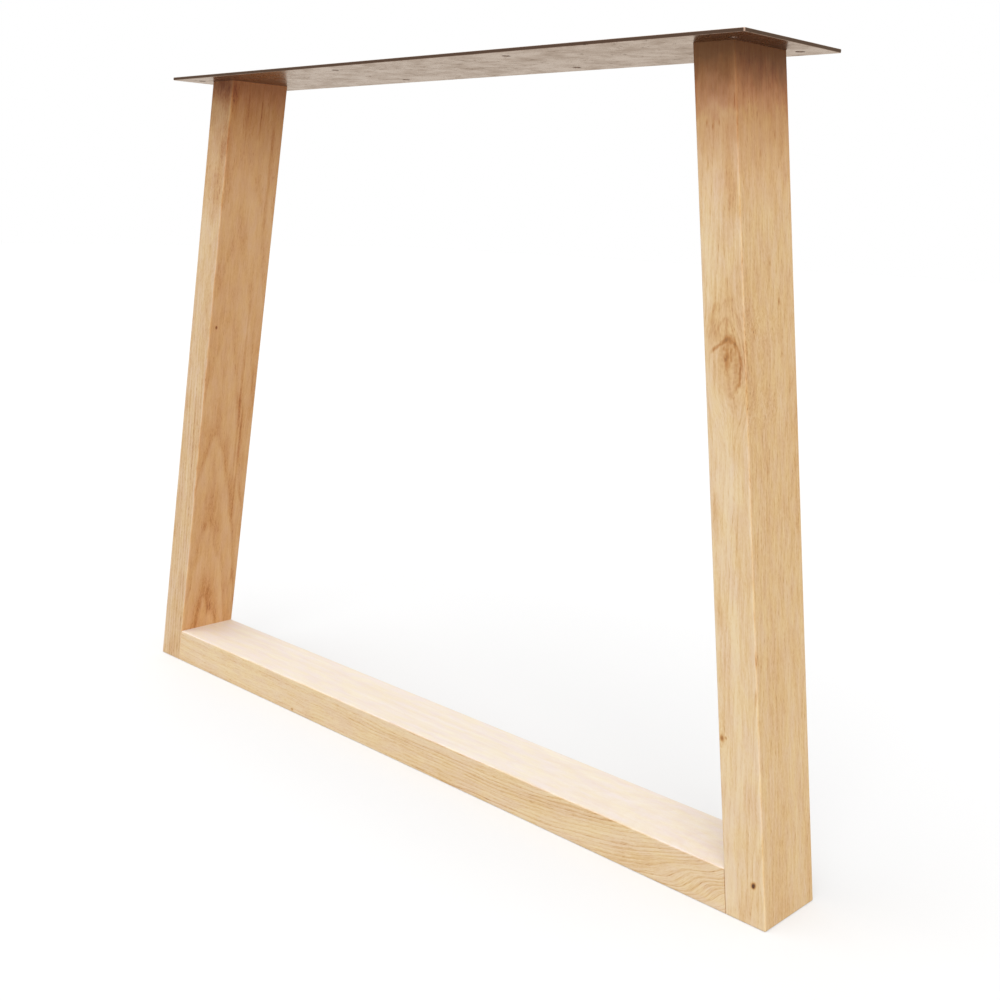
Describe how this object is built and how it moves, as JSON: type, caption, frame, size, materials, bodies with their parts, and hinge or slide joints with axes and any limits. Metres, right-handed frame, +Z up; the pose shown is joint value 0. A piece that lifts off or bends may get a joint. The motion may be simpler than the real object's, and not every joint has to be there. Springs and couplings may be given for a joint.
{
  "type": "trapezoid table leg",
  "caption": "Table leg as a standing frame: oak posts leaning inwards, an oak bottom rail between their feet, and a thin steel plate across the top for the table top.",
  "frame": {"origin": "on the floor, in the middle of the leg's footprint", "axes": "+X across the leg from the left post to the right post, +Y from front to back, +Z up to the table top"},
  "size_m": [0.8796, 0.15, 0.72],
  "materials": {
    "oak": "sanded, clear oil",
    "beech": "pressed and ribbed, unfinished",
    "mill_steel": "bare mill finish with light stains",
    "zinc_screw": "zinc plated"
  },
  "bodies": {
    "root": {"left_post": "oak", "right_post": "oak", "bottom_rail": "oak", "top_plate": "mill_steel", "left_front_tenon": "beech", "left_back_tenon": "beech", "right_front_tenon": "beech", "right_back_tenon": "beech", "left_front_screw": "zinc_screw", "left_back_screw": "zinc_screw", "right_front_screw": "zinc_screw", "right_back_screw": "zinc_screw"}
  },
  "joints": []
}
